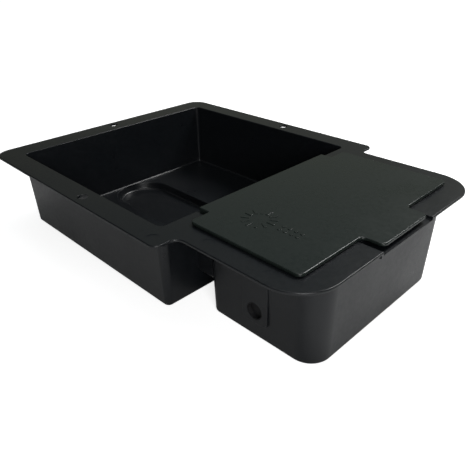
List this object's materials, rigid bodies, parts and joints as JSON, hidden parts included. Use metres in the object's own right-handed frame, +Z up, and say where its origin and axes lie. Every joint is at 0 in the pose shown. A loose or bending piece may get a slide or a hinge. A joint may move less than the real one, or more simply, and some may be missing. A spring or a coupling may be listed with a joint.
{
  "type": "livestock water trough",
  "caption": "Shallow black drinking trough with a wide flange, a square basin with an obround sump, and a lidded side compartment that holds a float valve.",
  "frame": {"origin": "centre of the bounding box on the ground plane, under the flange's middle", "axes": "+X along the length from the basin to the float compartment, +Y to the back, where the water comes in, +Z up"},
  "size_m": [0.7, 0.5, 0.1563],
  "materials": {
    "tub_plastic": "fine grained moulded polyethylene, satin",
    "lid_plastic": "smooth moulded polyethylene, satin",
    "rubber": "matt rubber",
    "brass": "cast and turned brass, dull",
    "valve_plastic": "white acetal",
    "steel": "stainless steel",
    "float_plastic": "blow-moulded orange polyethylene"
  },
  "bodies": {
    "trough": {"tub": "tub_plastic", "blanking_plug": "rubber", "valve_body": "brass", "inlet_nozzle": "valve_plastic", "inlet_strainer": "steel", "inner_washer": "rubber", "outer_washer": "rubber", "lock_nut": "brass", "pivot_pin": "steel", "split_pin": "steel"},
    "lid": {"lid": "lid_plastic"},
    "float_arm": {"lever_arm": "brass", "rod_clamp_screw": "steel", "float_rod": "steel", "float": "float_plastic", "float_nut": "steel", "float_washer": "steel"},
    "piston": {"piston": "valve_plastic", "piston_seal": "rubber"},
    "drain_plug": {"drain_plug": "rubber"}
  },
  "joints": [
    {"name": "lid_hinge", "type": "hinge", "parent": "trough", "child": "lid", "pos_m": [0.112, 0, 0.142], "axis": [0, -1, 0], "range_deg": [0, 100]},
    {"name": "float_lever", "type": "hinge", "parent": "trough", "child": "float_arm", "pos_m": [0.226, 0.10478, 0.0295], "axis": [-1, 0, 0], "range_deg": [0, 22]},
    {"name": "piston_slide", "type": "slide", "parent": "trough", "child": "piston", "axis": [0, 1, 0], "range_m": [0, 0.0054]},
    {"name": "drain_pull", "type": "slide", "parent": "trough", "child": "drain_plug", "axis": [0, 0, 1], "range_m": [0, 0.04]}
  ],
  "couplings": [
    {"joint": "piston_slide", "follows": "float_lever", "m_per_rad": 0.014}
  ]
}
